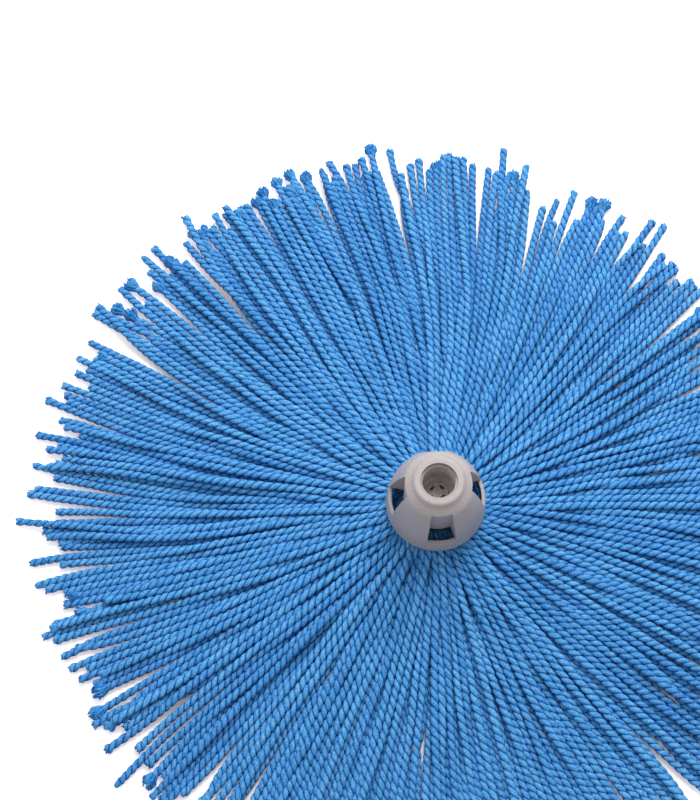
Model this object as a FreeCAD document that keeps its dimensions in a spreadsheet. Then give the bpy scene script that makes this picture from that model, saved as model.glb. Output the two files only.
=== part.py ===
"""Head of a spin mop: a threaded bell that turns on a plug, over a round fan of clamped yarns.

Frame: millimetres, +Z up. The origin is on the floor under the middle of the head, which lies on
its yarns with the handle socket facing up.
"""
import FreeCAD, Part
import os
import re
import Sketcher
from math import cos, radians, sin

doc = FreeCAD.newDocument("SpinMopHead")
Vector = FreeCAD.Vector

# ---------------------------------------------------------------- driving dimensions
SIZES = [
    # bell and socket
    ("rim_height", 24, "floor to the rim of the bell"),
    ("bell_height", 46.7, "rim to the mouth of the socket"),
    ("dome_radius", 100, "radius of the arc that the dome's outline follows"),
    ("dome_offset", 67.3, "how far that arc's centre lies beyond the axis"),
    ("dome_sink", 5, "how far that arc's centre lies below the rim"),
    ("dome_wall", 2.4, "thickness of the dome between the windows"),
    ("dome_top", 40, "rim to the upper end of the arc"),
    ("shoulder_top", 43.8, "rim to where the shoulder meets the collar"),
    ("collar_radius", 15.8, "outside of the socket's collar, at its lip"),
    ("collar_foot", 17.4, "outside of the collar where it meets the shoulder"),
    ("throat_radius", 29.1, "hollow for the yarns inside the rim"),
    ("bore_radius", 10.6, "crests of the handle thread"),
    ("thread_depth", 1.0, "crest to root of the handle thread"),
    ("thread_pitch", 3.2, "rise of the handle thread per turn"),
    ("thread_crest", 1.1, "flat width of a crest"),
    ("thread_root", 0.84, "flat width of a root"),
    ("mouth_radius", 11.9, "counterbore at the mouth of the socket"),
    ("mouth_depth", 1.5, "depth of that counterbore"),
    ("socket_depth", 26.6, "mouth to the floor of the well that the plug's head turns in"),
    ("floor_thickness", 2.5, "socket floor"),
    ("core_radius", 21.4, "back walls of the windows"),
    ("core_wall", 2.4, "thickness of those walls"),
    ("tube_radius", 13.8, "outside of the socket tube inside the bell"),
    ("hollow_top", 36, "rim to the top of the hollow between tube and dome"),
    ("lip_round", 2, "rounding of the collar's lip"),
    ("neck_round", 7, "concave rounding under the collar"),
    ("shoulder_round", 9, "rounding between dome and shoulder"),
    # windows
    ("window_angle", 35, "width of a window round the axis, in degrees"),
    ("window_turn", 5, "turn of the windows from the row axes, in degrees"),
    ("rib_angle", 5, "width of the ribs beside a window, in degrees"),
    ("sill_height", 12.3, "rim to the sill of a window"),
    ("overshoot", 1, "how far a cutting tool runs past the faces that it cuts"),
    # pivot
    ("axle_radius", 6, "shaft of the pivot plug"),
    ("running_gap", 0.05, "clearance of the turning fits"),
    ("plug_radius", 7.4, "head of the pivot plug"),
    ("plug_thickness", 2.2, "thickness of that head"),
    ("plug_edge", 0.5, "rounding of that head's edge"),
    ("key_offset", 4.4, "axis to the middle of a key slot"),
    ("key_length", 3.4, "length of a key slot"),
    ("key_width", 1.8, "width of a key slot"),
    ("key_depth", 6, "depth of a key slot"),
    ("axle_length", 14, "plug head to the end of the shaft"),
    ("washer_radius", 10.5, "outside of the thrust washer"),
    ("washer_thickness", 0.8, "thickness of the thrust washer"),
    # carrier and clamp
    ("hub_radius", 9, "outside of the carrier's hub"),
    ("hub_foot", 2, "concave rounding where the hub meets its plate"),
    ("plate_radius", 17.5, "carrier plate and clamp plate"),
    ("plate_thickness", 3, "thickness of each plate"),
    ("plate_drop", 5.5, "rim up to the top of the carrier plate"),
    ("clamp_height", 9, "floor to the underside of the clamp plate"),
    ("boss_radius", 5.5, "boss of the clamp plate"),
    ("peg_radius", 1.5, "pegs of the carrier"),
    ("peg_circle", 12, "radius of the circle that the pegs stand on"),
    ("peg_count", 6, "number of pegs"),
    ("peg_recess", 1, "underside of the clamp plate up to the ends of the pegs"),
    ("screw_radius", 1.9, "shank of the centre screw"),
    ("screw_head_radius", 4, "head of the centre screw"),
    ("screw_head_height", 2.3, "height of that head"),
    ("screw_inset", 0.15, "underside of the clamp plate up to the screw's head"),
    ("screw_point", 1, "radius of the screw's tip"),
    ("screw_gap", 0.1, "clearance round the screw"),
    # yarns
    ("yarn_reach", 262, "axis to the ends of the yarns"),
    ("yarn_thickness", 5.2, "diameter of one yarn"),
    ("yarn_root", 17.9, "axis to the inner ends of the bundles"),
    ("yarn_gap", 0.3, "clearance round the yarns"),
    ("yarn_tuck", 6, "how far the lower layer slopes down from its root to the floor"),
    ("seam_root", 18.5, "floor to the seam between the two layers, at their root"),
    ("seam_bend", 32.2, "axis to where that seam turns flatter"),
    ("slope_foot", 62.9, "axis to the foot of the pile's steep part"),
    ("pile_foot", 16.8, "height of the pile there"),
    ("seam_foot", 8.6, "height of the seam there"),
    ("flat_radius", 104.8, "axis to where the lower layer lies flat"),
    ("upper_reach", 157.2, "axis to the edge of the upper layer"),
    ("upper_edge", 6.2, "height of the upper layer there"),
    ("swell_top", 11.8, "rim up to the crest of the yarns inside the bell"),
    ("swell_edge", 6.6, "rim up to the yarns beside the rim's inner face"),
    ("bundle_count", 12, "bundles in each layer"),
    ("bundle_gap", 0.5, "angle between two bundles, in degrees"),
]

sheet = doc.addObject("Spreadsheet::Sheet", "Sizes")
for row, (alias, size, meaning) in enumerate(SIZES, start=1):
    sheet.set("A%d" % row, alias)
    sheet.set("B%d" % row, str(size))
    sheet.set("C%d" % row, meaning)
    sheet.setAlias("B%d" % row, alias)
doc.recompute()
ALIASES = {alias for alias, size, meaning in SIZES}


def named(expression):
    """Write an expression of size names as one that reads them from the sheet."""
    def place(word):
        return "Sizes." + word[0] if word[0] in ALIASES else word[0]

    return re.sub("[a-z_]+", place, expression)


def value(expression):
    """The number that an expression of size names stands for."""
    return float(sheet.evalExpression(named(expression)))


# ---------------------------------------------------------------- sketches and bodies
def new_body(label, turn="0"):
    """A body whose Placement turns it about the axis by an angle in degrees."""
    body = doc.addObject("PartDesign::Body", label)
    body.Label = label
    body.setExpression("Placement.Rotation.Angle", named(turn) + " * 1 deg")
    return body


def origin_feature(body, role):
    return next(part for part in body.Origin.OriginFeatures if part.Role == role)


def bind(sketch, kind, first, first_point, second, second_point, expression):
    """Add a distance constraint whose size comes from the sheet."""
    index = sketch.addConstraint(
        Sketcher.Constraint(kind, first, first_point, second, second_point, value(expression)))
    sketch.setExpression("Constraints[%d]" % index, named(expression))


def profile(body, name, points, arcs=None, turn=0):
    """A closed outline of (radius, height) expressions on the body's XZ plane.

    arcs maps the number of a side to the (radius, x, y) of the arc that it follows upwards,
    where x is the distance of the arc's centre beyond the axis and y is its height.
    """
    sketch = body.newObject("Sketcher::SketchObject", body.Label + "_" + name)
    sketch.AttachmentSupport = [(origin_feature(body, "XZ_Plane"), "")]
    sketch.MapMode = "FlatFace"
    sketch.AttachmentOffset = FreeCAD.Placement(Vector(), FreeCAD.Rotation(Vector(0, 1, 0), turn))
    arcs = arcs or {}
    corners = [Vector(value(x), value(y), 0) for x, y in points]
    count = len(corners)
    for side in range(count):
        start = corners[side]
        end = corners[(side + 1) % count]
        if side not in arcs:
            sketch.addGeometry(Part.LineSegment(start, end))
            continue
        radius, x, y = (value(size) for size in arcs[side])
        centre = Vector(-x, y, 0)
        circle = Part.Circle(centre, Vector(0, 0, 1), radius)
        low, high = sorted((circle.parameter(start), circle.parameter(end)))
        sketch.addGeometry(Part.ArcOfCircle(circle, low, high))
    for side in range(count):
        follower = (side + 1) % count
        end_point = 1 if side in arcs and corners[side].y > corners[follower].y else 2
        downwards = corners[follower].y > corners[(follower + 1) % count].y
        start_point = 2 if follower in arcs and downwards else 1
        sketch.addConstraint(Sketcher.Constraint("Coincident", side, end_point, follower, start_point))
    for side, (x, y) in enumerate(points):
        point = 1
        if side in arcs:
            radius, centre_x, centre_y = arcs[side]
            bind(sketch, "DistanceX", side, 3, -1, 1, centre_x)
            bind(sketch, "DistanceY", -1, 1, side, 3, centre_y)
            point = 2 if corners[side].y > corners[(side + 1) % count].y else 1
        bind(sketch, "DistanceY", -1, 1, side, point, y)
        if side not in arcs and (side - 1) % count not in arcs:
            bind(sketch, "DistanceX", -1, 1, side, point, x)
        elif side in arcs:
            index = sketch.addConstraint(Sketcher.Constraint("Radius", side, value(arcs[side][0])))
            sketch.setExpression("Constraints[%d]" % index, named(arcs[side][0]))
    return sketch


def revolve(body, name, points, arcs=None, angle="360"):
    """Add material turned about the axis, centred on the XZ plane when it isn't a full turn."""
    feature = body.newObject("PartDesign::Revolution", body.Label + "_" + name)
    feature.Profile = profile(body, name + "_profile", points, arcs)
    feature.ReferenceAxis = (feature.Profile[0], ["V_Axis"])
    feature.Midplane = True
    feature.setExpression("Angle", named(angle))
    body.Tip = feature
    doc.recompute()
    return feature


def groove(body, name, points, arcs=None, angle="360", turn=0):
    """Cut away material turned about the axis, and make sure that some was there."""
    before = body.Shape.Volume
    feature = body.newObject("PartDesign::Groove", body.Label + "_" + name)
    feature.Profile = profile(body, name + "_profile", points, arcs, turn)
    feature.ReferenceAxis = (feature.Profile[0], ["V_Axis"])
    feature.Midplane = True
    feature.setExpression("Angle", named(angle))
    body.Tip = feature
    doc.recompute()
    if not feature.Shape.Volume < before - 1:
        raise RuntimeError(feature.Label + " cuts nothing")
    return feature


def around(body, name, feature, count):
    """Repeat a feature about the axis."""
    pattern = body.newObject("PartDesign::PolarPattern", body.Label + "_" + name)
    pattern.Originals = [feature]
    pattern.Axis = (origin_feature(body, "Z_Axis"), [""])
    pattern.Angle = 360
    pattern.setExpression("Occurrences", named(count))
    body.Tip = pattern
    doc.recompute()
    return pattern


def round_circles(body, name, circles, size):
    """Fillet the circular edges that have the given (radius, height) expressions."""
    tolerance = 0.02
    wanted = [(value(radius), value(height)) for radius, height in circles]
    edges = []
    for number, edge in enumerate(body.Shape.Edges, start=1):
        if not isinstance(edge.Curve, Part.Circle):
            continue
        found = (edge.Curve.Radius, edge.Curve.Center.z)
        if any(abs(found[0] - r) < tolerance and abs(found[1] - z) < tolerance for r, z in wanted):
            edges.append("Edge%d" % number)
    if not edges:
        raise RuntimeError(body.Label + " has no edges for " + name)
    base = body.Tip
    fillet = body.newObject("PartDesign::Fillet", body.Label + "_" + name)
    fillet.Base = (base, edges)
    fillet.setExpression("Radius", named(size))
    body.Tip = fillet
    doc.recompute()


# ---------------------------------------------------------------- the bell
RIM = "rim_height"
MOUTH = "rim_height + bell_height"
FLOOR_TOP = "rim_height + bell_height - socket_depth"
FLOOR_UNDERSIDE = FLOOR_TOP + " - floor_thickness"
LEDGE = FLOOR_TOP + " + plug_thickness + 2 * running_gap"
SILL = "rim_height + sill_height"
ARC_HEIGHT = "rim_height - dome_sink"


def dome(height, wall="0"):
    """Radius of the dome at a height above the rim, less a wall's thickness."""
    return "sqrt((dome_radius - %s) ^ 2 - (%s + dome_sink) ^ 2) - dome_offset" % (wall, height)


RIM_RADIUS = dome("0")


def socket_cap():
    """Dome, shoulder, socket tube and floor with a well, four windows and cored-out corners."""
    body = new_body("socket_cap", "window_turn")
    dome_end = (dome("dome_top"), "rim_height + dome_top")
    neck = ("collar_foot", "rim_height + shoulder_top")
    outline = [
        (RIM_RADIUS, RIM),
        dome_end,
        neck,
        ("collar_radius", MOUTH),
        ("mouth_radius", MOUTH),
        ("mouth_radius", MOUTH + " - mouth_depth"),
        ("bore_radius", MOUTH + " - mouth_depth"),
        ("bore_radius", LEDGE),
        ("plug_radius + screw_gap", LEDGE),
        ("plug_radius + screw_gap", FLOOR_TOP),
        ("axle_radius + running_gap", FLOOR_TOP),
        ("axle_radius + running_gap", FLOOR_UNDERSIDE),
        ("tube_radius", FLOOR_UNDERSIDE),
        ("tube_radius", "rim_height + hollow_top"),
        ("core_radius - core_wall", "rim_height + hollow_top"),
        ("core_radius - core_wall", SILL),
        ("throat_radius", SILL),
        ("throat_radius", RIM),
    ]
    revolve(body, "shell", outline, {0: ("dome_radius", "dome_offset", ARC_HEIGHT)})
    round_circles(body, "shoulder", [dome_end], "shoulder_round")
    round_circles(body, "neck", [neck], "neck_round")
    round_circles(body, "lip", [("collar_radius", MOUTH)], "lip_round")

    past_dome = RIM_RADIUS + " + overshoot"
    window_outline = [
        ("core_radius", SILL),
        (past_dome, SILL),
        (past_dome, MOUTH),
        ("core_radius", MOUTH),
    ]
    window = groove(body, "window", window_outline, angle="window_angle")
    around(body, "windows", window, "4")

    inside = "core_radius - core_wall - overshoot"
    pocket_outline = [
        (dome("sill_height", "dome_wall"), SILL),
        (dome("hollow_top", "dome_wall"), "rim_height + hollow_top"),
        (inside, "rim_height + hollow_top"),
        (inside, SILL + " - overshoot"),
        (dome("sill_height", "dome_wall"), SILL + " - overshoot"),
    ]
    inner_arc = {0: ("dome_radius - dome_wall", "dome_offset", ARC_HEIGHT)}
    pocket = groove(body, "pocket", pocket_outline, inner_arc, "90 - window_angle - 2 * rib_angle", 45)
    around(body, "pockets", pocket, "4")
    cut_thread(body)
    return body


def cut_thread(body):
    """Right-hand helical groove from just above the ledge to past the mouth's counterbore."""
    before = body.Shape.Volume
    start = LEDGE + " + thread_pitch / 2"
    end = start + " + thread_pitch - thread_crest"
    flank = "(thread_pitch - thread_crest - thread_root) / 2"
    root = "bore_radius + thread_depth"
    inside = "bore_radius - thread_depth / 5"
    groove_outline = [
        (inside, start),
        (inside, end),
        ("bore_radius", end),
        (root, end + " - " + flank),
        (root, start + " + " + flank),
        ("bore_radius", start),
    ]
    thread = body.newObject("PartDesign::SubtractiveHelix", "socket_cap_thread")
    thread.Profile = profile(body, "thread_profile", groove_outline)
    thread.ReferenceAxis = (thread.Profile[0], ["V_Axis"])
    thread.Mode = 0
    thread.setExpression("Pitch", named("thread_pitch"))
    thread.setExpression("Height", named("socket_depth - plug_thickness - mouth_depth"))
    body.Tip = thread
    doc.recompute()
    if not thread.Shape.Volume < before - 1:
        raise RuntimeError("the handle thread cuts nothing")


# ---------------------------------------------------------------- the pivot
AXLE_END = FLOOR_TOP + " - axle_length"
WASHER_TOP = FLOOR_UNDERSIDE + " - running_gap"
HUB_TOP = WASHER_TOP + " - washer_thickness - running_gap"
PLUG_TOP = FLOOR_TOP + " + running_gap + plug_thickness"


def pivot_plug():
    """Round head with four key slots, on the shaft that the bell turns about."""
    body = new_body("pivot_plug", "window_turn")
    outline = [
        ("screw_point + screw_gap", PLUG_TOP),
        ("screw_point + screw_gap", PLUG_TOP + " - plug_thickness"),
        ("screw_radius + screw_gap", PLUG_TOP + " - 2 * plug_thickness"),
        ("screw_radius + screw_gap", AXLE_END),
        ("axle_radius", AXLE_END),
        ("axle_radius", FLOOR_TOP + " + running_gap"),
        ("plug_radius", FLOOR_TOP + " + running_gap"),
        ("plug_radius", PLUG_TOP),
    ]
    revolve(body, "turning", outline)
    key = key_slot(body)
    around(body, "keys", key, "4")
    round_circles(body, "edge", [("plug_radius", PLUG_TOP)], "plug_edge")
    return body


def key_slot(body):
    """One short slot across the diagonal between two windows."""
    before = body.Shape.Volume
    sketch = body.newObject("Sketcher::SketchObject", "pivot_plug_key_profile")
    sketch.AttachmentSupport = [(origin_feature(body, "XY_Plane"), "")]
    sketch.MapMode = "FlatFace"
    lift = value(PLUG_TOP)
    sketch.AttachmentOffset = FreeCAD.Placement(Vector(0, 0, lift), FreeCAD.Rotation(Vector(0, 0, 1), 45))
    sketch.setExpression("AttachmentOffset.Base.z", named(PLUG_TOP))
    near = "key_offset - key_width / 2"
    far = "key_offset + key_width / 2"
    half = value("key_length / 2")
    corners = [Vector(value(near), -half), Vector(value(far), -half),
               Vector(value(far), half), Vector(value(near), half)]
    for side in range(4):
        sketch.addGeometry(Part.LineSegment(corners[side], corners[(side + 1) % 4]))
    for side in range(4):
        sketch.addConstraint(Sketcher.Constraint("Coincident", side, 2, (side + 1) % 4, 1))
    bind(sketch, "DistanceX", -1, 1, 0, 1, near)
    bind(sketch, "DistanceX", -1, 1, 1, 1, far)
    bind(sketch, "DistanceX", -1, 1, 2, 1, far)
    bind(sketch, "DistanceX", -1, 1, 3, 1, near)
    for side, sign in ((0, -1), (1, -1), (2, 1), (3, 1)):
        first, second = ((side, 1), (-1, 1)) if sign < 0 else ((-1, 1), (side, 1))
        bind(sketch, "DistanceY", first[0], first[1], second[0], second[1], "key_length / 2")
    pocket = body.newObject("PartDesign::Pocket", "pivot_plug_key")
    pocket.Profile = sketch
    pocket.setExpression("Length", named("key_depth"))
    body.Tip = pocket
    doc.recompute()
    if not pocket.Shape.Volume < before - 1:
        raise RuntimeError("the key slot cuts nothing")
    return pocket


def thrust_washer():
    """Flat ring round the shaft, between the socket floor and the hub."""
    body = new_body("thrust_washer")
    inner = "axle_radius + running_gap"
    outline = [
        (inner, WASHER_TOP),
        (inner, WASHER_TOP + " - washer_thickness"),
        ("washer_radius", WASHER_TOP + " - washer_thickness"),
        ("washer_radius", WASHER_TOP),
    ]
    revolve(body, "ring", outline)
    return body


# ---------------------------------------------------------------- carrier, clamp and screw
PLATE_TOP = "rim_height + plate_drop"
PLATE_UNDERSIDE = PLATE_TOP + " - plate_thickness"
CLAMP_TOP = "clamp_height + plate_thickness"
HEAD_TOP = "clamp_height + screw_inset + screw_head_height"
TAPER_FOOT = PLUG_TOP + " - 2 * (plug_thickness + screw_gap)"


def yarn_carrier():
    """Hub that holds the plug's shaft, on a plate with pegs that point down."""
    body = new_body("yarn_carrier")
    socket = "axle_radius + running_gap"
    hole = "screw_radius + screw_gap"
    outline = [
        (socket, HUB_TOP),
        (socket, AXLE_END + " - running_gap"),
        (hole, AXLE_END + " - running_gap"),
        (hole, PLATE_UNDERSIDE),
        ("plate_radius", PLATE_UNDERSIDE),
        ("plate_radius", PLATE_TOP),
        ("hub_radius", PLATE_TOP),
        ("hub_radius", HUB_TOP),
    ]
    revolve(body, "turning", outline)
    round_circles(body, "root", [("hub_radius", PLATE_TOP)], "hub_foot")
    sketch = body.newObject("Sketcher::SketchObject", "yarn_carrier_peg_profile")
    sketch.AttachmentSupport = [(origin_feature(body, "XY_Plane"), "")]
    sketch.MapMode = "FlatFace"
    lift = Vector(0, 0, value(PLATE_UNDERSIDE))
    sketch.AttachmentOffset = FreeCAD.Placement(lift, FreeCAD.Rotation())
    sketch.setExpression("AttachmentOffset.Base.z", named(PLATE_UNDERSIDE))
    centre = Vector(value("peg_circle"), 0)
    circle = sketch.addGeometry(Part.Circle(centre, Vector(0, 0, 1), value("peg_radius")))
    sketch.addConstraint(Sketcher.Constraint("PointOnObject", circle, 3, -1))
    bind(sketch, "DistanceX", -1, 1, circle, 3, "peg_circle")
    index = sketch.addConstraint(Sketcher.Constraint("Radius", circle, value("peg_radius")))
    sketch.setExpression("Constraints[%d]" % index, named("peg_radius"))
    peg = body.newObject("PartDesign::Pad", "yarn_carrier_peg")
    peg.Profile = sketch
    peg.Reversed = True
    peg.setExpression("Length", named(PLATE_UNDERSIDE + " - clamp_height - peg_recess"))
    body.Tip = peg
    doc.recompute()
    around(body, "pegs", peg, "peg_count")
    return body


def cylinder(name, radius, low, high, circle=None, angle=0):
    """A Part cylinder between two heights, on the axis or on a circle round it."""
    tool = doc.addObject("Part::Cylinder", name)
    tool.setExpression("Radius", named(radius))
    tool.setExpression("Height", named("(%s) - (%s)" % (high, low)))
    tool.setExpression("Placement.Base.z", named(low))
    if circle:
        tool.setExpression("Placement.Base.x", named("(%s) * %.9f" % (circle, cos(radians(angle)))))
        tool.setExpression("Placement.Base.y", named("(%s) * %.9f" % (circle, sin(radians(angle)))))
    return tool


def fuse(name, shapes):
    joined = doc.addObject("Part::MultiFuse", name)
    joined.Shapes = shapes
    return joined


def cut(name, base, tool):
    result = doc.addObject("Part::Cut", name)
    result.Base = base
    result.Tool = tool
    result.Label = name
    return result


def peg_holes(name, low, high):
    """Holes that the carrier's pegs pass through."""
    count = int(value("peg_count"))
    return [cylinder("%s_%d" % (name, number), "peg_radius + running_gap", low, high, "peg_circle",
                     number * 360 / count) for number in range(count)]


def clamp_plate():
    """Disc and boss under the yarns, with peg holes and a recess for the screw's head."""
    below = "clamp_height - overshoot"
    disc = cylinder("clamp_disc", "plate_radius", "clamp_height", CLAMP_TOP)
    boss = cylinder("clamp_boss", "boss_radius", "clamp_height", PLATE_UNDERSIDE + " - running_gap")
    holes = peg_holes("clamp_peg_hole", below, CLAMP_TOP + " + overshoot")
    shank = cylinder("clamp_screw_hole", "screw_radius + screw_gap", below, PLATE_TOP)
    head = cylinder("clamp_recess", "screw_head_radius + screw_gap", below, HEAD_TOP + " + running_gap")
    tools = fuse("clamp_holes", holes + [shank, head])
    return cut("clamp_plate", fuse("clamp_body", [disc, boss]), tools)


def centre_screw():
    """Pan-head screw from below, whose tip shows in the middle of the plug."""
    head = cylinder("screw_head", "screw_head_radius", "clamp_height + screw_inset", HEAD_TOP)
    shank = cylinder("screw_shank", "screw_radius", HEAD_TOP, TAPER_FOOT)
    cone = doc.addObject("Part::Cone", "screw_cone")
    cone.setExpression("Radius1", named("screw_radius"))
    cone.setExpression("Radius2", named("screw_point"))
    cone.setExpression("Height", named("plug_thickness"))
    cone.setExpression("Placement.Base.z", named(TAPER_FOOT))
    tip = cylinder("screw_tip", "screw_point", TAPER_FOOT + " + plug_thickness", PLUG_TOP)
    across = doc.addObject("Part::Box", "screw_slot_across")
    along = doc.addObject("Part::Box", "screw_slot_along")
    for box, long_side, short_side in ((across, "Length", "Width"), (along, "Width", "Length")):
        box.setExpression(long_side, named("screw_head_radius"))
        box.setExpression(short_side, named("screw_head_radius / 4"))
        box.setExpression("Height", named("screw_head_height / 2"))
        box.setExpression("Placement.Base.z", named("clamp_height"))
    across.setExpression("Placement.Base.x", named("-screw_head_radius / 2"))
    across.setExpression("Placement.Base.y", named("-screw_head_radius / 8"))
    along.setExpression("Placement.Base.x", named("-screw_head_radius / 8"))
    along.setExpression("Placement.Base.y", named("-screw_head_radius / 2"))
    solid = fuse("screw_solid", [head, shank, cone, tip])
    return cut("centre_screw", solid, fuse("screw_recess", [across, along]))


# ---------------------------------------------------------------- yarns
def yarn_centre():
    """The pressed middles of the yarns, round the boss and pierced by the pegs."""
    low = CLAMP_TOP + " + running_gap"
    high = PLATE_UNDERSIDE + " - running_gap"
    disc = cylinder("yarn_centre_disc", "plate_radius", low, high)
    bore = cylinder("yarn_centre_bore", "boss_radius + running_gap", CLAMP_TOP, PLATE_UNDERSIDE)
    holes = peg_holes("yarn_centre_peg_hole", CLAMP_TOP, PLATE_UNDERSIDE)
    return cut("yarn_centre", disc, fuse("yarn_centre_holes", holes + [bore]))


# Radius from the axis and height of the face between the two layers, on its way outwards.
SEAM = [
    ("yarn_root", "seam_root"),
    ("seam_bend", "rim_height / 2"),
    ("slope_foot", "seam_foot"),
    ("flat_radius", "yarn_thickness"),
]


def yarn_lower(number):
    """A bundle of the lower layer, flat on the floor out to the yarns' ends."""
    lifted = [(radius, height + " - yarn_gap / 2") for radius, height in SEAM[:-1]]
    outline = lifted + [
        ("flat_radius", "yarn_thickness"),
        ("yarn_reach", "yarn_thickness"),
        ("yarn_reach", "0"),
        ("yarn_root + yarn_tuck", "0"),
        ("yarn_root", "yarn_tuck"),
    ]
    return yarn_bundle("yarn_lower", number, outline)


def yarn_upper(number):
    """A bundle of the upper layer: swollen inside the bell, then sloping down under its rim."""
    throat = "throat_radius - 2 * yarn_gap"
    outline = [
        ("yarn_root", "rim_height + swell_edge"),
        ("core_radius", "rim_height + swell_top"),
        (throat, "rim_height + swell_edge"),
        (throat, "rim_height - yarn_gap"),
        (RIM_RADIUS + " + overshoot", "rim_height - yarn_gap"),
        ("slope_foot", "pile_foot"),
        ("flat_radius", "yarn_thickness * 2"),
        ("upper_reach", "upper_edge"),
        ("upper_reach", "yarn_thickness + yarn_gap"),
    ]
    outline += [(radius, height + " + yarn_gap") for radius, height in reversed(SEAM)]
    return yarn_bundle("yarn_upper", number, outline)


def yarn_bundle(layer, number, outline):
    step = "360 / bundle_count"
    body = new_body("%s_%02d" % (layer, number), "(%d - 0.5) * %s" % (number, step))
    revolve(body, "fan", outline, angle=step + " - bundle_gap")
    return body


# ---------------------------------------------------------------- assembly and files
BUNDLES = range(1, int(value("bundle_count")) + 1)
parts = [socket_cap(), pivot_plug(), thrust_washer(), yarn_carrier(), clamp_plate(), centre_screw()]
parts.append(yarn_centre())
parts += [yarn_lower(number) for number in BUNDLES]
parts += [yarn_upper(number) for number in BUNDLES]
doc.recompute()

for item in doc.Objects:
    if "Invalid" in item.State or "Error" in item.State:
        raise RuntimeError("%s failed: %s" % (item.Label, item.State))
for part in parts:
    shape = part.Shape
    if shape.isNull() or not shape.isValid() or len(shape.Solids) != 1:
        raise RuntimeError("%s is not one valid solid" % part.Label)

os.makedirs("parts", exist_ok=True)
for part in parts:
    part.Shape.exportStep("parts/%s.step" % part.Label)
    box = part.Shape.BoundBox
    print("%-16s volume %9.0f  z %6.2f to %6.2f" % (part.Label, part.Shape.Volume, box.ZMin, box.ZMax))
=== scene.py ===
import math

import bpy
import numpy as np
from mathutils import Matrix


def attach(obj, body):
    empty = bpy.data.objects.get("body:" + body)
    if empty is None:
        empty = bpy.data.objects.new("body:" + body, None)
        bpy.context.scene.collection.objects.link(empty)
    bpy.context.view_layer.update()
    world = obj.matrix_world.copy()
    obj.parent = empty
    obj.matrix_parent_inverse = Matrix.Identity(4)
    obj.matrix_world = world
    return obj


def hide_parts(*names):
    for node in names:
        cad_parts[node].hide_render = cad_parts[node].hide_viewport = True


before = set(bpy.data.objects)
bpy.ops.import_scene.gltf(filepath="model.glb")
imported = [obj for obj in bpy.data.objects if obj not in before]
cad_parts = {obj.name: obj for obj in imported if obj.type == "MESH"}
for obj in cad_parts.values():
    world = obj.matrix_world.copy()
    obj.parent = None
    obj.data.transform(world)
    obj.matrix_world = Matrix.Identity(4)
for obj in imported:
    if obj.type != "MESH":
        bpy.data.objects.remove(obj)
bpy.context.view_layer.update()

MM = 0.001
draw = np.random.default_rng(41)


# ---------------------------------------------------------------- camera, light and floor
def add(name, data):
    item = bpy.data.objects.new(name, data)
    bpy.context.scene.collection.objects.link(item)
    return item


CAMERA_TILT = math.radians(20.26)
camera = add("camera", bpy.data.cameras.new("camera"))
camera.location = (-0.0559, -0.3355, 1.1260)
camera.rotation_euler = (CAMERA_TILT, 0, 0)
camera.data.lens = 79.4
camera.data.sensor_width = 36
camera.data.clip_start, camera.data.clip_end = 0.05, 20
bpy.context.scene.camera = camera


def area_light(name, place, size, power, tint):
    """A round soft light that points at the origin."""
    data = bpy.data.lights.new(name, "AREA")
    data.shape = "DISK"
    data.size = size
    data.energy = power
    data.color = tint
    lamp = add(name, data)
    lamp.location = place
    lamp.rotation_euler = lamp.location.to_track_quat("Z", "Y").to_euler()


area_light("key", (0.25, 1.08, 1.32), 1.1, 31.5, (1.0, 0.985, 0.97))
area_light("fill", (-1.6, 0.3, 1.7), 1.8, 8, (0.97, 0.98, 1.0))
bpy.context.scene.view_settings.view_transform = "Standard"
world = bpy.data.worlds.new("studio")
world.use_nodes = True
sky = world.node_tree.nodes["Background"].inputs
sky["Color"].default_value = (1.0, 0.985, 0.98, 1)
sky["Strength"].default_value = 0.5
bpy.context.scene.world = world


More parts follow.
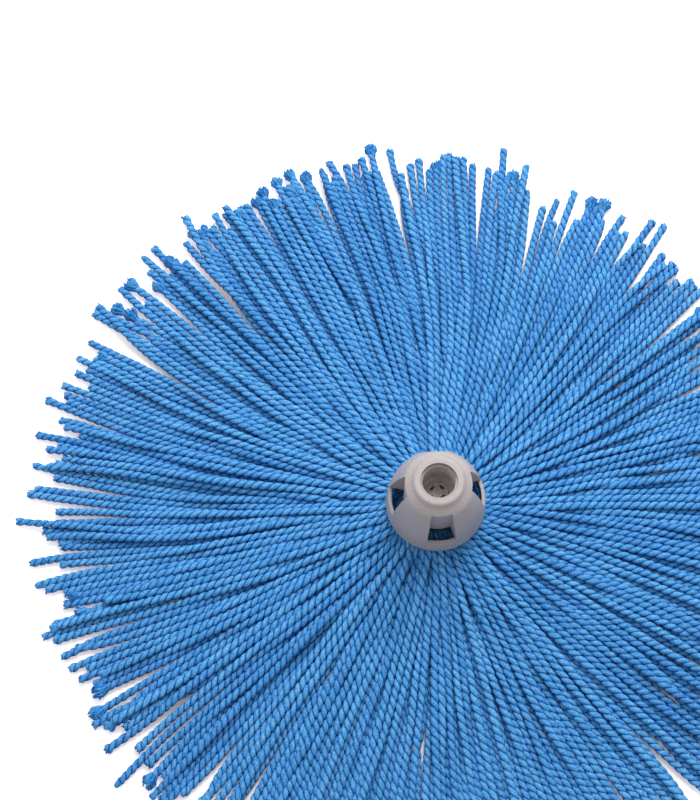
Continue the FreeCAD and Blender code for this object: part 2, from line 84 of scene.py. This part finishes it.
# ---------------------------------------------------------------- materials
class Shader:
    """A node tree round one Principled shader, with short calls for the nodes used here."""

    def __init__(self, name, **sockets):
        self.material = bpy.data.materials.new(name)
        self.material.use_nodes = True
        self.tree = self.material.node_tree
        self.surface = self.tree.nodes["Principled BSDF"]
        for socket, constant in sockets.items():
            self.surface.inputs[socket.replace("_", " ")].default_value = constant

    def node(self, kind, **settings):
        made = self.tree.nodes.new("ShaderNode" + kind)
        for key, setting in settings.items():
            setattr(made, key, setting)
        return made

    def link(self, source, target):
        self.tree.links.new(source, target)

    def coordinates(self):
        return self.node("TexCoord").outputs["Object"]

    def attribute(self, name, output="Fac"):
        return self.node("Attribute", attribute_name=name).outputs[output]

    def noise(self, vector, scale, detail=3.0, roughness=0.55):
        made = self.node("TexNoise")
        self.link(vector, made.inputs["Vector"])
        made.inputs["Scale"].default_value = scale
        made.inputs["Detail"].default_value = detail
        made.inputs["Roughness"].default_value = roughness
        return made.outputs["Fac"]

    def from_axis(self, vector):
        """Distance from the Z axis of the object."""
        flat = self.node("VectorMath", operation="MULTIPLY")
        flat.inputs[1].default_value = (1, 1, 0)
        length = self.node("VectorMath", operation="LENGTH")
        self.link(vector, flat.inputs[0])
        self.link(flat.outputs["Vector"], length.inputs[0])
        return length.outputs["Value"]

    def ramp(self, source, *stops):
        made = self.node("ValToRGB")
        elements = made.color_ramp.elements
        while len(elements) < len(stops):
            elements.new(0.5)
        for element, (place, colour) in zip(elements, stops):
            element.position = place
            element.color = (*colour, 1)
        self.link(source, made.inputs["Fac"])
        return made.outputs["Color"]

    def spread(self, source, low, high, to_low, to_high):
        """The source's range from low to high, stretched to the range from to_low to to_high."""
        made = self.node("MapRange")
        self.link(source, made.inputs["Value"])
        ends = {"From Min": low, "From Max": high, "To Min": to_low, "To Max": to_high}
        for socket, number in ends.items():
            made.inputs[socket].default_value = number
        return made.outputs["Result"]

    def multiplied(self, share, colour, factor):
        """A colour times a factor, by a share. Inputs 6 and 7 and output 2 are for colours."""
        made = self.node("Mix", data_type="RGBA", blend_type="MULTIPLY")
        made.inputs[0].default_value = share
        self.link(colour, made.inputs[6])
        self.link(factor, made.inputs[7])
        return made.outputs[2]

    def bump(self, height, strength, distance):
        made = self.node("Bump")
        made.inputs["Strength"].default_value = strength
        made.inputs["Distance"].default_value = distance
        self.link(height, made.inputs["Height"])
        self.link(made.outputs["Normal"], self.surface.inputs["Normal"])

    def colour(self, source):
        self.link(source, self.surface.inputs["Base Color"])

    def rough(self, source):
        self.link(source, self.surface.inputs["Roughness"])


def moulded_plastic(name, light, dark, gloss=0.42, grain=900, grained=0.25, thread=None):
    """Satin plastic: cloudy colour, a fine spark-eroded grain and slightly uneven gloss.

    thread is how far a thread's crests and roots are from the axis. The crests get a painted
    highlight and the roots get painted shade. Further out the colour is as it was.
    """
    shader = Shader(name, Specular_IOR_Level=0.45, IOR=1.49)
    place = shader.coordinates()
    cloud = shader.noise(place, 45, 4)
    fine = shader.noise(place, grain, 2, 0.6)
    tone = shader.ramp(cloud, (0.32, dark), (0.68, light))
    pits = shader.ramp(fine, (0.35, (0.5, 0.5, 0.5)), (0.6, (1, 1, 1)))
    tone = shader.multiplied(grained, tone, pits)
    if thread:
        crest, root = thread
        depth = shader.spread(shader.from_axis(place), crest, 2 * root - crest, 0, 1)
        # Painted thread shading: a painted highlight on the crests and painted shade in the roots.
        painted_crest_highlight, painted_root_shade = (1.65, 1.62, 1.6), (0.72, 0.68, 0.66)
        worn = shader.ramp(depth, (0.04, painted_crest_highlight), (0.12, (1, 1, 1)), (0.4, painted_root_shade), (0.52, painted_root_shade),
                           (0.6, (1, 1, 1)))
        tone = shader.multiplied(1.0, tone, worn)
    shader.colour(tone)
    shader.rough(shader.spread(cloud, 0.3, 0.7, gloss - 0.05, gloss + 0.09))
    shader.bump(fine, 0.16, 0.00012)
    return shader.material


def floor_paper():
    """White paper that glows softly round the mop and hardly at all under it."""
    shader = Shader("floor_paper", Specular_IOR_Level=0.2, Roughness=0.85)
    shader.surface.inputs["Emission Color"].default_value = (1.0, 0.93, 0.91, 1)
    glow = shader.spread(shader.from_axis(shader.coordinates()), 0.2, 0.27, 0.08, 0.6)
    shader.link(glow, shader.surface.inputs["Emission Strength"])
    shade = shader.noise(shader.coordinates(), 3, 2)
    shader.colour(shader.ramp(shade, (0.3, (0.9, 0.885, 0.88)), (0.7, (0.93, 0.92, 0.915))))
    return shader.material


def screw_metal():
    """Brass-coloured plating, worn and dull."""
    shader = Shader("screw_brass", Metallic=1.0)
    worn = shader.noise(shader.coordinates(), 700, 5)
    shader.colour(shader.ramp(worn, (0.35, (0.26, 0.2, 0.15)), (0.65, (0.42, 0.34, 0.27))))
    shader.rough(shader.spread(worn, 0.3, 0.7, 0.3, 0.5))
    shader.bump(worn, 0.2, 0.0001)
    return shader.material


def yarn_material():
    """Twisted microfibre yarn: fibres along each ply, small random changes of tone, and painted
    shade in the grooves and on the sides and undersides of the plies.
    """
    shader = Shader("yarn_blue", Roughness=0.88, Specular_IOR_Level=0.04, Sheen_Weight=0.06,
                    Sheen_Roughness=0.45)
    shader.surface.inputs["Sheen Tint"].default_value = (0.12, 0.5, 1.0, 1)
    plain = (1.0, 1.0, 1.0)
    fibres = shader.noise(shader.attribute("fibre", "Vector"), 1.35, 4, 0.65)
    fuzz = shader.noise(shader.coordinates(), 720, 3, 0.65)
    patches = shader.noise(shader.coordinates(), 60, 3, 0.5)
    # Painted shade: where the crest attribute is low, in the grooves and on the sides and
    # undersides of the twisted yarns, the blue is darkened to navy.
    body = shader.ramp(shader.attribute("crest"), (0.0, (0.0005, 0.022, 0.18)),
                       (0.2, (0.002, 0.085, 0.38)), (0.5, (0.04, 0.25, 0.6)),
                       (1.0, (0.1, 0.34, 0.68)))
    streaks = shader.ramp(fibres, (0.32, (0.42, 0.55, 0.68)), (0.5, plain),
                          (0.72, (1.55, 1.3, 1.16)))
    speckles = shader.ramp(fuzz, (0.34, (0.4, 0.55, 0.7)), (0.5, plain), (0.68, (1.5, 1.25, 1.12)))
    faded = shader.ramp(patches, (0.35, (0.9, 0.94, 0.96)), (0.65, (1.1, 1.05, 1.03)))
    own = shader.ramp(shader.attribute("tint"), (0.0, (0.8, 0.84, 0.92)), (0.5, plain),
                      (1.0, (1.16, 1.1, 1.05)))
    for share, factor in ((0.8, streaks), (0.85, speckles), (1.0, faded), (1.0, own)):
        body = shader.multiplied(share, body, factor)
    shader.colour(body)
    shader.bump(fibres, 0.7, 0.0005)
    return shader.material


FLOOR_HALF = 6.0
FLOOR_DROP = 0.0002
floor = add("floor", bpy.data.meshes.new("floor"))
corners = [(x * FLOOR_HALF, y * FLOOR_HALF, 0) for x, y in ((-1, -1), (1, -1), (1, 1), (-1, 1))]
floor.data.from_pydata(corners, [], [(0, 1, 2, 3)])
floor.location.z = -FLOOR_DROP
floor.data.materials.append(floor_paper())

CAP = moulded_plastic("cap_grey", (0.43, 0.388, 0.385), (0.39, 0.355, 0.355),
                      thread=(0.0106, 0.0116))
PLUG = moulded_plastic("plug_speckled", (0.92, 0.9, 0.87), (0.63, 0.62, 0.61), 0.5, 1100, 0.8)
CARRIER = moulded_plastic("carrier_grey", (0.33, 0.31, 0.3), (0.27, 0.25, 0.25), 0.45)
WASHER = moulded_plastic("washer_white", (0.72, 0.71, 0.68), (0.64, 0.63, 0.6), 0.35)
YARN = yarn_material()
FINISHES = {
    "socket_cap": CAP,
    "pivot_plug": PLUG,
    "thrust_washer": WASHER,
    "yarn_carrier": CARRIER,
    "clamp_plate": CARRIER,
    "centre_screw": screw_metal(),
}
for node, finish in FINISHES.items():
    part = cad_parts[node]
    part.data.materials.clear()
    part.data.materials.append(finish)


# ---------------------------------------------------------------- how the yarns lie
# Sizes from here on are millimetres. A yarn is known by where it crosses rings round the axis.
YARNS = 320
ROOT = 17.6
RING_RADII = np.array([ROOT, 20.5, 23.5, 26, 29, 32, 36, 41, 49, 59, 71, 84, 97, 110, 123, 136, 149,
                       162, 175, 188, 201, 214, 227, 240, 253, 266, 279.0])
RIM_INSIDE = 33
UNDER_BELL = RING_RADII < RIM_INSIDE


def level(radius, *steps):
    """A measure that changes in straight lines between (radius, measure) steps."""
    return np.interp(radius, [step[0] for step in steps], [step[1] for step in steps])


pile_top = level(RING_RADII, (ROOT, 24.2), (20.5, 30.2), (23.5, 30.6), (26, 24.4), (29, 18.8),
                 (32, 18.8), (36, 20.6), (41, 21.0), (49, 19), (59, 16.5), (84, 12.5), (110, 10),
                 (160, 7.4), (280, 6.2))
pile_base = level(RING_RADII, (ROOT, 13.6), (20.5, 8.5), (23.5, 5), (26, 3.2), (32, 2.4), (41, 2.6),
                  (280, 2.6))
OPEN_SPACING = 5.1
RESTING_HEIGHT = 2.55
spacing = level(RING_RADII, (ROOT, 2.5), (20.5, 3.7), (23.5, 4.3), (26, 4.5), (29, 4.4), (32, 4.4),
                (36, 4.6), (49, 4.95), (59, OPEN_SPACING), (280, OPEN_SPACING))

start_at = (np.arange(YARNS) + draw.uniform(-0.35, 0.35, YARNS)) * math.tau / YARNS
layer = draw.permutation(YARNS) / (YARNS - 1)


def wave(angle, radius, pulls):
    """Sideways sweep shared by neighbouring yarns.

    Each pull is (lobes, phase and size in degrees, radius where it starts, radius where full).
    """
    total = np.zeros(np.broadcast(angle, radius).shape)
    for lobes, phase, size, start, end in pulls:
        grown = np.clip((radius - start) / (end - start), 0, 1)
        swing = math.radians(size) * np.sin(lobes * angle - math.radians(phase))
        total += swing * grown * grown * (3 - 2 * grown)
    return total


# The sweep in the photograph: yarns at the far side lean to the left as they go out.
SWEEPS = [
    (1, -25, 2.2, 60, 250),
    (2, 70, 2.6, 120, 260),
    (3, 120, 1.6, 60, 200),
    (5, 10, 1.2, 90, 220),
    (9, 200, 0.4, 110, 250),
    (14, 75, 0.25, 100, 260),
    (23, 310, 0.16, 120, 260),
]
at_ring = RING_RADII[:, None]
outward = np.clip((at_ring - 40) / 220, 0, 1)
stray = draw.normal(0, 1.0, YARNS) * np.radians(1.5) * outward
curl = draw.normal(0, 1.0, YARNS) * np.radians(0.9) * np.clip((at_ring - 170) / 90, 0, 1) ** 2
bow = draw.normal(0, 1.0, YARNS) * np.radians(1.1) * np.sin(math.pi * outward)
route = start_at + wave(start_at, at_ring, SWEEPS) + stray + curl + bow
height = pile_base[:, None] + layer * (pile_top - pile_base)[:, None]
ending = route[-3] % math.tau
reach = 255 + 6 * np.cos(2 * (ending - math.radians(145))) + draw.normal(0, 6, YARNS)
reach += np.where(draw.random(YARNS) < 0.18, draw.uniform(4, 15, YARNS), 0)
reach -= np.where(draw.random(YARNS) < 0.22, draw.uniform(5, 22, YARNS), 0)
kind = draw.choice(["cut", "plies", "brush"], YARNS, p=[0.68, 0.2, 0.12])

# Single long ends that stand out in the photograph: (azimuth in degrees, reach, kind).
for azimuth, far, end in [
        (98.5, 276, "brush"), (112, 272, "brush"), (113.5, 270, "brush"), (110, 266, "brush"),
        (116, 267, "brush"), (119, 262, "brush"), (101, 266, "cut"), (104, 264, "cut"),
        (106.5, 264, "plies"), (92, 262, "cut"), (86.5, 263, "cut"), (85, 264, "cut"),
        (81, 258, "cut"), (79, 256, "cut"), (129, 262, "brush"), (148, 273, "cut"),
        (143, 270, "plies"), (169, 272, "cut"), (178, 270, "cut"), (190, 266, "plies"),
        (203, 260, "cut"), (61, 262, "brush"), (40, 264, "cut")]:
    chosen = np.abs(ending - math.radians(azimuth)).argmin()
    reach[chosen], kind[chosen] = far, end
reach = np.clip(reach, 214, 276)
alive = at_ring < reach + 6

# How the yarns settle: PUSH, SPRING_BACK and SMOOTHING are shares of a distance per step, SINK is
# a drop per step, and HEAP is how far yarns outside the bell may lie above pile_top.
SETTLING_STEPS = 320
NEIGHBOURS = 15
PUSH = 0.32
SINK = 0.16
HEAP = 3
SPRING_BACK = 0.02
SMOOTHING = 0.3, 0.22


def settle():
    """Angles and heights of the yarns at the rings, once they rest on the floor and on each other.

    Each step pushes yarns that are nearer than the spacing apart, lets them sink outside the bell,
    draws them back to their routes and smooths each one along its length.
    """
    angle, lift = route.copy(), height.copy()
    floor_level = np.maximum(pile_base, RESTING_HEIGHT * spacing / OPEN_SPACING)[:, None]
    ceiling = (pile_top + np.where(UNDER_BELL, 0, HEAP))[:, None]
    for _ in range(SETTLING_STEPS):
        rank = np.argsort(angle, axis=1)
        a = np.take_along_axis(angle, rank, 1)
        h = np.take_along_axis(lift, rank, 1)
        ok = np.take_along_axis(alive, rank, 1)
        move_a, move_h = np.zeros_like(a), np.zeros_like(h)
        for shift in range(1, NEIGHBOURS + 1):
            turned = np.roll(a, -shift, 1) - a
            across = ((turned + math.pi) % math.tau - math.pi) * at_ring
            up = np.roll(h, -shift, 1) - h
            apart = np.maximum(np.hypot(across, up), 1e-3)
            both = ok & np.roll(ok, -shift, 1)
            push = np.maximum(spacing[:, None] - apart, 0) / apart * PUSH * both
            move_a -= push * across / at_ring
            move_h -= push * up
            move_a += np.roll(push * across / at_ring, shift, 1)
            move_h += np.roll(push * up, shift, 1)
        np.put_along_axis(angle, rank, a + move_a, 1)
        np.put_along_axis(lift, rank, h + move_h, 1)
        lift[~UNDER_BELL] -= SINK
        angle += (route - angle) * SPRING_BACK
        for values, share in zip((angle, lift), SMOOTHING):
            halfway = (values[:-2] + values[2:]) / 2
            values[1:-1] += (halfway - values[1:-1]) * share
        lift = np.clip(lift, floor_level, ceiling)
        angle[0] = route[0]
    return angle, lift


angle, lift = settle()


# ---------------------------------------------------------------- yarn geometry
def smooth_line(points):
    """Points down the NURBS spline that has these control points."""
    curve = bpy.data.curves.new("route", "CURVE")
    curve.dimensions = "3D"
    curve.resolution_u = 10
    spline = curve.splines.new("NURBS")
    spline.points.add(len(points) - 1)
    spline.points.foreach_set("co", np.column_stack([points, np.ones(len(points))]).ravel())
    spline.order_u = 3
    spline.use_endpoint_u = True
    holder = bpy.data.objects.new("route", curve)
    mesh = bpy.data.meshes.new_from_object(holder)
    line = np.zeros(len(mesh.vertices) * 3)
    mesh.vertices.foreach_get("co", line)
    bpy.data.meshes.remove(mesh)
    bpy.data.objects.remove(holder)
    bpy.data.curves.remove(curve)
    return line.reshape(-1, 3)


def even(line, step):
    """The same line with points a step apart, and how far along each one is."""
    along = np.concatenate([[0], np.cumsum(np.linalg.norm(np.diff(line, axis=0), axis=1))])
    at = np.linspace(0, along[-1], max(4, int(round(along[-1] / step)) + 1))
    return np.stack([np.interp(at, along, line[:, k]) for k in range(3)], 1), at


def unit(vectors):
    return vectors / np.maximum(np.linalg.norm(vectors, axis=1, keepdims=True), 1e-9)


def frames(line, hint):
    """Two normals at each point of a line. The hint is a direction roughly across it."""
    tangent = unit(np.gradient(line, axis=0))
    across = unit(hint - (tangent * hint).sum(1)[:, None] * tangent)
    return across, np.cross(tangent, across)


def random_side(heading):
    """A random direction square to a heading."""
    side = draw.normal(0, 1, 3)
    return unit((side - heading * (side @ heading))[None])[0]


FLOOR_GAP = 0.05
END_CREST = 0.3


def above_floor(rings):
    rings[..., 2] = np.maximum(rings[..., 2], FLOOR_GAP)
    return rings


class Pile:
    """Collects tubes into one mesh, with the attributes that the yarn's material reads.

    fibre is a place that runs along the fibres, crest is 0 in a groove and 1 on a ply's back, and
    tint is the yarn's own shade. The material paints shade where crest is low, so crest carries
    painted shade in the grooves and, on the twisted yarns, on their sides and undersides.
    """

    def __init__(self):
        self.points, self.faces, self.sizes = [], [], []
        self.fibre, self.crest, self.tint = [], [], []
        self.count = 0

    def tube(self, rings, fibre, crest, tint):
        """Add a tube whose rings are an array of (ring, point, xyz), with a fan over each end."""
        number, sides, _ = rings.shape
        index = np.arange(number * sides).reshape(number, sides) + self.count
        near, far = index[:-1], index[1:]
        quads = np.stack([near, np.roll(near, -1, 1), np.roll(far, -1, 1), far], -1).reshape(-1, 4)
        centre = self.count + number * sides
        first = np.stack([np.roll(index[0], -1), index[0], np.full(sides, centre)], -1)
        last = np.stack([index[-1], np.roll(index[-1], -1), np.full(sides, centre + 1)], -1)
        ends = np.stack([rings[0].mean(0), rings[-1].mean(0)])
        self.points.append(np.concatenate([rings.reshape(-1, 3), ends]))
        self.faces += [quads.ravel(), first.ravel(), last.ravel()]
        self.sizes += [np.full(len(quads), 4), np.full(2 * sides, 3)]
        self.fibre += [fibre.reshape(-1, 3), fibre[0].mean(0)[None], fibre[-1].mean(0)[None]]
        self.crest += [np.broadcast_to(crest, (number, sides)).ravel(), [END_CREST, END_CREST]]
        self.tint.append(np.full(number * sides + 2, tint))
        self.count += number * sides + 2

    def piece(self, name):
        mesh = bpy.data.meshes.new(name)
        points = np.concatenate(self.points) * MM
        loops, sizes = np.concatenate(self.faces), np.concatenate(self.sizes)
        mesh.vertices.add(len(points))
        mesh.vertices.foreach_set("co", points.ravel())
        mesh.loops.add(len(loops))
        mesh.loops.foreach_set("vertex_index", loops)
        mesh.polygons.add(len(sizes))
        mesh.polygons.foreach_set("loop_start", np.concatenate([[0], np.cumsum(sizes)[:-1]]))
        mesh.polygons.foreach_set("use_smooth", np.ones(len(sizes), bool))
        mesh.update(calc_edges=True)
        for label, form, field, values in (("fibre", "FLOAT_VECTOR", "vector", self.fibre),
                                           ("crest", "FLOAT", "value", self.crest),
                                           ("tint", "FLOAT", "value", self.tint)):
            attribute = mesh.attributes.new(label, form, "POINT")
            attribute.data.foreach_set(field, np.concatenate(values).ravel())
        mesh.validate()
        mesh.materials.append(YARN)
        return add(name, mesh)


# A yarn's section is two plies side by side: LOBE is its outline's radius at each angle of SECTION,
# and the crest share is how far that point lies out of the groove between the plies, from 0 to 1;
# the yarn's material paints shade in the grooves, where that share is low.
PLIES = 2
PLY_RADIUS, PLY_OFFSET = 2.04, 0.63
GROOVE = 0.93
PLY_ANGLES = np.radians([-90, -75, -53, -27, 0, 27, 53, 75])
SECTION = np.concatenate([PLY_ANGLES + ply * math.tau / PLIES for ply in range(PLIES)])
IN_PLY = np.tile(PLY_ANGLES, PLIES)
LOBE = PLY_OFFSET * np.cos(IN_PLY) + np.sqrt(PLY_RADIUS ** 2 - (PLY_OFFSET * np.sin(IN_PLY)) ** 2)
LOBE[::len(PLY_ANGLES)] *= GROOVE
PAINTED_LIGHT_SHARE = np.interp(np.abs(np.degrees(IN_PLY)), [27, 53, 75, 90], [1, 0.85, 0.5, 0.0])


def twist(line, along, phase, tightness):
    """Angle of the left-hand twist along a line, which tightens outwards."""
    pitch = level(np.hypot(line[:, 0], line[:, 1]), (17, 14.5), (55, 12.8), (100, 12), (150, 11.6),
                  (215, 10.8), (260, 10.6)) / tightness
    return phase - math.tau * np.concatenate([[0], np.cumsum(np.diff(along) / pitch[1:])])


def rings_round(line, hint, around, size):
    """Rings of points at angles around a line and at distances from it."""
    across, up = frames(line, hint)
    return (line[:, None] + across[:, None] * (np.cos(around) * size)[..., None]
            + up[:, None] * (np.sin(around) * size)[..., None])


def fibre_place(along, around, size):
    """Where each point is for the fibre pattern: along the fibres, and across them twice."""
    return np.stack([np.broadcast_to(along, size.shape), np.cos(around) * size,
                     np.sin(around) * size], -1)


def twisted(pile, line, along, hint, scale, turn, tint, seed):
    """A two-ply yarn down a line. Its crests get painted shade where they face sideways or down."""
    size = LOBE[None, :] * scale[:, None]
    rings = rings_round(line, hint, SECTION[None, :] + turn[:, None], size)
    fibre = fibre_place(along[:, None] * 0.22 + seed, SECTION, size)
    # Painted shade: the crest share falls where the yarn's surface faces sideways or down.
    painted_top_light = np.clip(((rings - line[:, None])[..., 2] / size + 0.1) / 0.65, 0, 1)
    pile.tube(above_floor(rings), fibre, PAINTED_LIGHT_SHARE * painted_top_light, tint)


HAIR_HINT = np.array([[0.31, 0.2, 0.93]])
# The last of these numbers is how far the flutes swing the crest share: painted light on their
# ridges and painted shade between them.
FLUTE_TURN, FLUTE_DEPTH, FLUTE_PAINTED_SHADE = 0.6, 0.13, 0.35


def hair(pile, line, radii, sides, tint, seed, crest=0.75, flutes=0):
    """A tapered tube, for a loose ply or a tuft of fibres. Flutes are ridges that wind along it,
    painted lighter on the ridges and with painted shade between them.
    """
    around = np.arange(sides) * math.tau / sides
    number = np.arange(len(line))[:, None]
    ridge = np.zeros((len(line), sides))
    if flutes:
        ridge = np.cos(flutes * around + FLUTE_TURN * number + seed)
    size = radii[:, None] * (1 + FLUTE_DEPTH * ridge)
    rings = rings_round(line, HAIR_HINT, around, size)
    fibre = fibre_place(number * 0.15 + seed, around, size)
    pile.tube(above_floor(rings), fibre, crest + FLUTE_PAINTED_SHADE * ridge, tint)


def drawn_in(points, line, limit):
    """The points, no further than a limit from the nearest point of the line."""
    away = points[:, None] - line[None]
    nearest = np.linalg.norm(away, axis=2).argmin(1)
    offset = points - line[nearest]
    distance = np.linalg.norm(offset, axis=1, keepdims=True)
    return line[nearest] + offset * np.minimum(1, limit / np.maximum(distance, 1e-6))


# The ends of the yarns. A tuft keeps within TUFT_LIMIT of its yarn's line.
LOOSE_PLY_HEIGHT = 1.3
TUFT_FIBRES = 56
TUFT_FIBRE_RADII = np.array([0.5, 0.55, 0.6, 0.65, 0.65, 0.6, 0.35])
TUFT_SHAPE = np.array([0.42, 0.5, 0.62, 0.74, 0.84, 0.88, 0.84, 0.66, 0.34])
TUFT_LIMIT = 4.7
BRISTLES = 14
BRISTLE_RADII = np.array([0.5, 0.5, 0.45, 0.3])


def loose_plies(pile, line, along, hint, turn, tint, seed, length, opening):
    """The last stretch of a yarn, where its plies come apart."""
    across, up = frames(line, hint)
    share = np.clip((along - (along[-1] - length)) / length, 0, 1)
    tail = share > 0
    for ply in range(PLIES):
        offset = PLY_OFFSET + opening * share ** 1.4 * draw.uniform(0.7, 1.1)
        around = turn + share ** 2 * draw.uniform(0.3, 1.2) + ply * math.tau / PLIES
        place = (line + across * (np.cos(around) * offset)[:, None]
                 + up * (np.sin(around) * offset)[:, None])
        place[:, 2] = np.maximum(place[:, 2], LOOSE_PLY_HEIGHT)
        radii = 1.6 + 0.35 * share[tail] ** 2
        radii[-1] *= 0.7
        hair(pile, place[tail], radii, 10, tint, seed + ply)


def tuft(pile, line, tint, seed):
    """The fluffed-out end of a yarn: a fluted core that flares, under short curled fibres."""
    heading = unit((line[-1] - line[-6])[None])[0]
    size = draw.uniform(4.0, 4.7)
    middle = line[-1] - heading * size * 0.8
    middle[2] = max(middle[2], size * 0.62)
    core = middle + heading * np.linspace(-size * 1.5, size * 0.6, 9)[:, None]
    hair(pile, core, size * TUFT_SHAPE, 28, tint, seed, 0.55, 7)
    t = np.linspace(0, 1, len(TUFT_FIBRE_RADII))[:, None]
    for fibre in range(TUFT_FIBRES):
        lean = math.acos(draw.uniform(-0.2, 1))
        side = random_side(heading)
        pointing = heading * math.cos(lean) + side * math.sin(lean)
        root = middle - heading * size * (0.9 - 0.5 * max(0, math.cos(lean))) + side * size * 0.5
        tip = middle + pointing * size * draw.uniform(0.9, 1.25)
        bend = middle + pointing * size * 0.4 + side * size * 0.6
        strand = root * (1 - t) ** 2 + bend * 2 * t * (1 - t) + tip * t ** 2
        curl_side = np.cross(pointing, side)
        strand += curl_side * np.sin(t * draw.uniform(3, 7)) * draw.uniform(0.3, 0.9)
        strand = drawn_in(strand, line[-25:], TUFT_LIMIT)
        strand[:, 2] = np.maximum(strand[:, 2], 0.5)
        hair(pile, strand, TUFT_FIBRE_RADII, 6, tint, seed + fibre * 0.37, draw.uniform(0.35, 1.0))


def bristles(pile, line, radius, tint, seed):
    """Short fibre ends that stand out of a cut yarn."""
    heading = unit((line[-1] - line[-4])[None])[0]
    for fibre in range(BRISTLES):
        side = random_side(heading)
        foot = line[-1] - heading * 0.9 + side * radius * draw.uniform(0.1, 0.75)
        leaning = heading + side * draw.uniform(0.1, 0.7)
        short = foot + leaning * np.linspace(0, draw.uniform(1.2, 2.3), len(BRISTLE_RADII))[:, None]
        hair(pile, short, BRISTLE_RADII, 5, tint, seed + fibre * 0.61)


# A yarn's thickness swells and shrinks along it in waves of these lengths.
POINT_STEP = 1.1
BREATHS = 1.9, 4.3, 11.7, 29
BREATH_SIZE = 0.018
LAST_RING_GAP = 5


def yarn(pile, number):
    """One whole yarn from the clamp to its end. Returns the line that it follows, in metres."""
    far = reach[number]
    inside = RING_RADII < far - LAST_RING_GAP
    radius = np.append(RING_RADII[inside], far)
    own_angle = np.append(angle[inside, number], np.interp(far, RING_RADII, angle[:, number]))
    own_lift = np.append(lift[inside, number], np.interp(far, RING_RADII, lift[:, number]))
    control = np.stack([radius * np.cos(own_angle), radius * np.sin(own_angle), own_lift], 1)
    line, along = even(smooth_line(control), POINT_STEP)
    out = unit(np.column_stack([line[:, :2], np.zeros(len(line))]))
    hint = np.column_stack([-out[:, 1], out[:, 0], np.zeros(len(line))])
    from_axis = np.hypot(line[:, 0], line[:, 1])
    pressed = np.interp(from_axis, RING_RADII, spacing / spacing[-1])
    breath = sum(np.sin(along / wave_length + draw.uniform(0, math.tau)) for wave_length in BREATHS)
    scale = pressed * (draw.uniform(0.95, 1.07) + breath * BREATH_SIZE)
    tint, seed = draw.uniform(0, 1), draw.uniform(0, 400)
    turn = twist(line, along, draw.uniform(0, math.tau), draw.uniform(0.92, 1.08))
    turn += 0.4 * np.sin(along / draw.uniform(14, 30) + draw.uniform(0, math.tau))
    turn += 0.22 * np.sin(along / draw.uniform(3, 6) + draw.uniform(0, math.tau))
    if kind[number] == "cut":
        left = along[-1] - along
        scale *= 1 + draw.uniform(0.1, 0.5) * np.clip(1 - left / draw.uniform(3.5, 7), 0, 1) ** 1.3
        scale[-2:] *= [0.95, 0.74]
        twisted(pile, line, along, hint, scale, turn, tint, seed)
        bristles(pile, line, LOBE.mean() * scale[-3], tint, seed)
    else:
        length = draw.uniform(5, 9)
        keep = along < along[-1] - length * 0.72
        twisted(pile, line[keep], along[keep], hint[keep], scale[keep], turn[keep], tint, seed)
        if kind[number] == "brush":
            tuft(pile, line, tint, seed)
        else:
            loose_plies(pile, line, along, hint, turn, tint, seed, length, draw.uniform(0.3, 0.9))
    return line * MM


BUNDLES = 12
DECLARED_CORDS = 40
furthest = set(np.argsort(-reach)[:DECLARED_CORDS].tolist())
piles = {}
declared = []
for number in range(YARNS):
    if number in furthest:
        pile = Pile()
        line = yarn(pile, number)
        declared.append((pile.piece("strand_%03d" % number), line))
    else:
        bundle = int(start_at[number] % math.tau / math.tau * BUNDLES) % BUNDLES + 1
        name = "strands_%s_%02d" % ("upper" if layer[number] > 0.5 else "lower", bundle)
        yarn(piles.setdefault(name, Pile()), number)

for name in sorted(piles):
    piece = piles[name].piece(name)
    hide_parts(name.replace("strands", "yarn"))
    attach(piece, "yarn_head")
for piece, line in declared:
    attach(piece, "yarn_head")

# The middles of the yarns, pressed between the two plates.
MIDDLE_ROWS, MIDDLE_YARNS, MIDDLE_POINTS = 3, 26, 12
MIDDLE_OUTSIDE, MIDDLE_INSIDE = 17.7, 6.4
middle = Pile()
distance = np.linspace(MIDDLE_OUTSIDE, MIDDLE_INSIDE, MIDDLE_POINTS)
for row in range(MIDDLE_ROWS):
    for number in range(MIDDLE_YARNS):
        azimuth = (number + 0.33 * row) * math.tau / MIDDLE_YARNS
        out = np.array([math.cos(azimuth), math.sin(azimuth), 0])
        line = out * distance[:, None] + np.array([0, 0, 14.8 + row * 4.4])
        hint = np.cross([[0, 0, 1.0]], out[None]).repeat(MIDDLE_POINTS, 0)
        along = MIDDLE_OUTSIDE - distance
        twisted(middle, line, along, hint, distance / MIDDLE_OUTSIDE * 0.82, number - 0.5 * along,
                0.5, number * 3.1)
pressed_middle = middle.piece("strands_middle")
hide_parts("yarn_centre")
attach(pressed_middle, "yarn_head")
